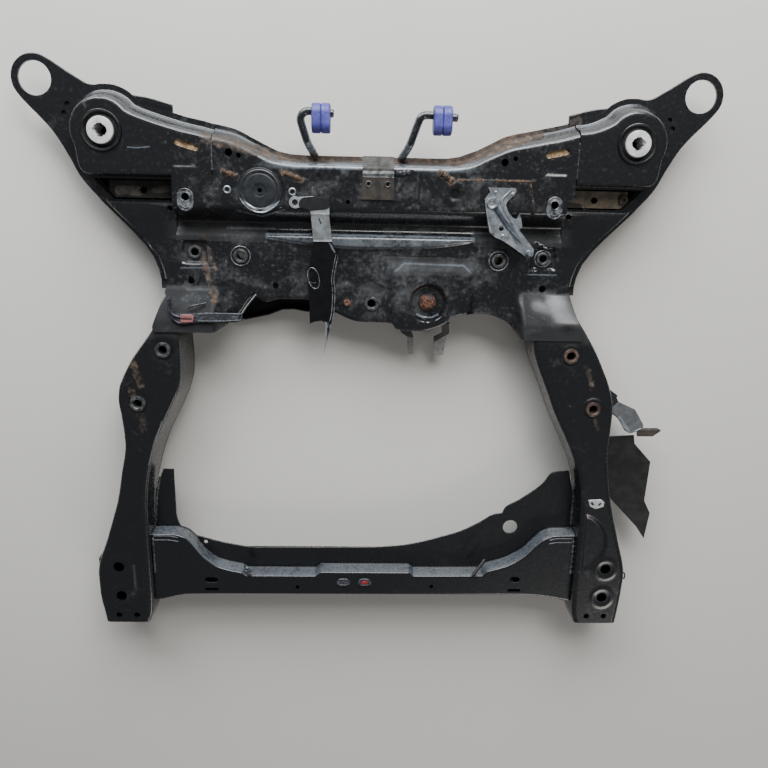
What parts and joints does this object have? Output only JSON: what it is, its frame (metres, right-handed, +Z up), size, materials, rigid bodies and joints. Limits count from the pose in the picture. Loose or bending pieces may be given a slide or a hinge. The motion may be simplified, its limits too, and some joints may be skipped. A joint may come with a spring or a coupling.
{
  "type": "subframe",
  "caption": "Stamped steel front subframe cradle with box crossmembers, side rails, body bushings, exhaust hangers and small brackets.",
  "frame": {"origin": "middle of the bounding box at the underside, which is the floor of both crossmembers", "axes": "+X across the car to the right of the picture, +Y to the rear eyes, +Z up, out of the cradle's upper side"},
  "size_m": [1.08, 0.93, 0.1014],
  "materials": {
    "black_paint": "worn black coating over stamped steel, dusty, with rust on edges and seams",
    "worn_paint": "grey worn coating with bare bright edges",
    "rusty_steel": "rusted bare steel",
    "bolt_rust": "orange rust on bolt heads",
    "aluminium": "dull cast and machined aluminium",
    "zinc": "dull zinc plating",
    "rubber": "black rubber",
    "violet_rubber": "faded violet-blue rubber",
    "black_plastic": "matt black plastic",
    "red_plastic": "faded red plastic",
    "shield_steel": "satin black thin sheet"
  },
  "bodies": {
    "root": {"crossmember_upper": "black_paint", "crossmember_lower": "black_paint", "rear_panel": "black_paint", "arm_upper_left": "black_paint", "arm_upper_right": "black_paint", "arm_plate_left": "black_paint", "arm_plate_right": "black_paint", "arm_pan_left": "black_paint", "arm_pan_right": "black_paint", "arm_web_left": "black_paint", "arm_web_right": "black_paint", "pocket_plate_left": "rusty_steel", "pocket_plate_right": "rusty_steel", "rail_upper_left": "black_paint", "rail_upper_right": "black_paint", "rail_lower_left": "black_paint", "rail_lower_right": "black_paint", "front_crossmember_upper": "black_paint", "front_shelf": "black_paint", "front_crossmember_lower": "black_paint", "bushing_housing_left": "black_paint", "bushing_housing_right": "black_paint", "bushing_rubber_left": "rubber", "bushing_rubber_right": "rubber", "bushing_sleeve_left": "aluminium", "bushing_sleeve_right": "aluminium", "engine_collar_left": "black_paint", "engine_collar_right": "black_paint", "middle_collar": "black_paint", "rack_nut_left": "worn_paint", "rack_nut_right": "worn_paint", "key_washer_left": "worn_paint", "key_washer_right": "worn_paint", "rail_nut_left_1": "black_paint", "rail_nut_left_2": "black_paint", "rail_nut_right_1": "black_paint", "rail_nut_right_2": "black_paint", "round_cover": "worn_paint", "stud_washer_1": "zinc", "stud_washer_2": "zinc", "torque_rod_bolt": "bolt_rust", "small_bolt": "bolt_rust", "bracket_bolt": "bolt_rust", "centre_bracket": "rusty_steel", "hanger_rod_left": "black_paint", "hanger_rod_right": "black_paint", "isolator_left": "violet_rubber", "isolator_right": "violet_rubber", "strap_bracket": "zinc", "shield_fin": "shield_steel", "aluminium_bracket": "aluminium", "harness_bracket": "black_plastic", "clip_bracket_1": "zinc", "clip_bracket_2": "zinc", "shield_tab": "worn_paint", "shield_wing": "black_plastic", "zinc_clip": "zinc", "crossmember_plug_1": "black_plastic", "crossmember_plug_2": "red_plastic"}
  },
  "joints": []
}
